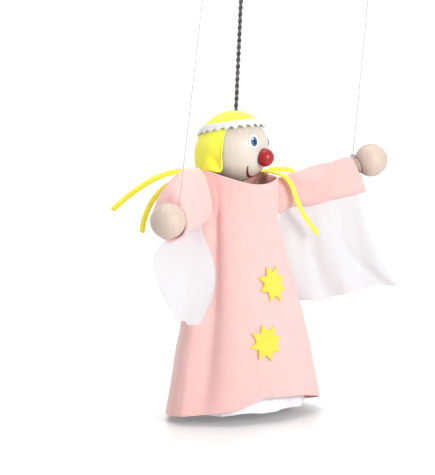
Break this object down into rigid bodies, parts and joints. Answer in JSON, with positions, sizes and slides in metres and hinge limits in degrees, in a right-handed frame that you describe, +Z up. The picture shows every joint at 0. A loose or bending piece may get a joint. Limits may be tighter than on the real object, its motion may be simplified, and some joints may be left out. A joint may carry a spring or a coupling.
{
  "type": "rod marionette",
  "caption": "Hanging angel marionette: ball head on a rod, felt dress over a turned torso, hinged winged arms raised by strings from a rocking wooden control.",
  "frame": {"origin": "the highest point inside the hanging hook, where the peg bears", "axes": "+Z up, the puppet's front towards -Y and its own left hand towards +X"},
  "size_m": [0.2036, 0.1351, 0.3377],
  "materials": {
    "face_wood": "pale turned maple, clear satin lacquer",
    "hand_wood": "pale turned maple, bare and sanded",
    "body_wood": "turned beech, bare",
    "bar_wood": "planed beech, clear satin lacquer",
    "red_lacquer": "gloss red lacquer on a wooden ball",
    "white_paint": "gloss white paint",
    "blue_paint": "gloss blue paint with a dark pupil and a white catch light",
    "red_paint": "satin dark red paint",
    "yellow_felt": "matt yellow felt",
    "pink_felt": "matt pale pink felt",
    "white_braid": "white zigzag braid",
    "white_cotton": "white cotton",
    "wing_gauze": "thin white gauze, a little light comes through",
    "dark_wire": "twisted blackened wire",
    "zinc_steel": "zinc-plated steel",
    "brass_wire": "bright brass wire",
    "thread": "thin grey thread"
  },
  "bodies": {
    "control": {"head_rod": "dark_wire", "head_stop": "zinc_steel", "main_bar": "bar_wood", "rocker_screw": "zinc_steel", "rocker_washer": "zinc_steel"},
    "head": {"head": "face_wood", "nose": "red_lacquer", "eye_whites": "white_paint", "eye_irises": "blue_paint", "mouth_line": "red_paint", "hair_cap": "yellow_felt", "headband": "white_braid", "left_hair_strips": "yellow_felt", "right_hair_strips": "yellow_felt"},
    "torso": {"torso_block": "body_wood", "neck_screw_eye": "brass_wire", "left_shoulder_pin": "zinc_steel", "right_shoulder_pin": "zinc_steel", "dress_body": "pink_felt", "petticoat": "white_cotton", "upper_star": "yellow_felt", "lower_star": "yellow_felt"},
    "rocker": {"rocker_bar": "bar_wood"},
    "left_arm": {"left_arm_dowel": "body_wood", "left_hand": "hand_wood", "left_sleeve": "pink_felt", "left_wing": "wing_gauze"},
    "right_arm": {"right_arm_dowel": "body_wood", "right_hand": "hand_wood", "right_sleeve": "pink_felt", "right_wing": "wing_gauze"},
    "left_wrist_loop": {"left_wrist_tie": "thread"},
    "right_wrist_loop": {"right_wrist_tie": "thread"},
    "left_string": {"left_hand_string": "thread", "left_stop_bead": "hand_wood"},
    "right_string": {"right_hand_string": "thread", "right_stop_bead": "hand_wood"}
  },
  "joints": [
    {"name": "head_turn", "type": "hinge", "parent": "control", "child": "head", "pos_m": [-0.00842, 0, -0.1607], "axis": [0.0523, 0, 0.9986], "range_deg": [-50, 25], "deforming": ["left_hair_strips", "right_hair_strips"]},
    {"name": "body_sway", "type": "hinge", "parent": "control", "child": "torso", "pos_m": [-0.01001, 0, -0.19101], "axis": [1, 0, 0], "range_deg": [-5, 0]},
    {"name": "rocker_tilt", "type": "hinge", "parent": "control", "child": "rocker", "pos_m": [-0.00199, -0.0571, -0.038], "axis": [0, -1, 0], "range_deg": [-15, 15]},
    {"name": "left_arm_raise", "type": "hinge", "parent": "torso", "child": "left_arm", "pos_m": [0.01458, 0, -0.1955], "axis": [-0.3305, -0.9438, 0], "range_deg": [-14.6, 14.6], "deforming": ["left_wing"]},
    {"name": "right_arm_raise", "type": "hinge", "parent": "torso", "child": "right_arm", "pos_m": [-0.03142, 0, -0.1955], "axis": [-0.6678, 0.7443, 0], "range_deg": [-12.9, 12.9], "deforming": ["right_wing"]},
    {"name": "left_loop_swing", "type": "hinge", "parent": "left_arm", "child": "left_wrist_loop", "pos_m": [0.07487, -0.02111, -0.17388], "axis": [1, 0, 0], "range_deg": [0, 5.9]},
    {"name": "right_loop_swing", "type": "hinge", "parent": "right_arm", "child": "right_wrist_loop", "pos_m": [-0.08156, -0.04498, -0.19879], "axis": [1, 0, 0], "range_deg": [0, 5.1]},
    {"name": "left_string_swing", "type": "hinge", "parent": "left_wrist_loop", "child": "left_string", "pos_m": [0.07245, -0.02026, -0.1663], "axis": [-0.3305, -0.9438, 0], "range_deg": [-17, 17], "deforming": ["left_hand_string"]},
    {"name": "right_string_swing", "type": "hinge", "parent": "right_wrist_loop", "child": "right_string", "pos_m": [-0.07931, -0.04801, -0.19174], "axis": [-0.6678, 0.7443, 0], "range_deg": [-12.8, 12.8], "deforming": ["right_hand_string"]}
  ],
  "couplings": [
    {"joint": "left_arm_raise", "follows": "rocker_tilt", "ratio": 0.9661},
    {"joint": "right_arm_raise", "follows": "rocker_tilt", "ratio": -0.8569},
    {"joint": "left_string_swing", "follows": "rocker_tilt", "ratio": -1.1314},
    {"joint": "right_string_swing", "follows": "rocker_tilt", "ratio": 0.8513},
    {"joint": "left_loop_swing", "follows": "body_sway", "ratio": -1.1689},
    {"joint": "right_loop_swing", "follows": "body_sway", "ratio": -1.009}
  ]
}
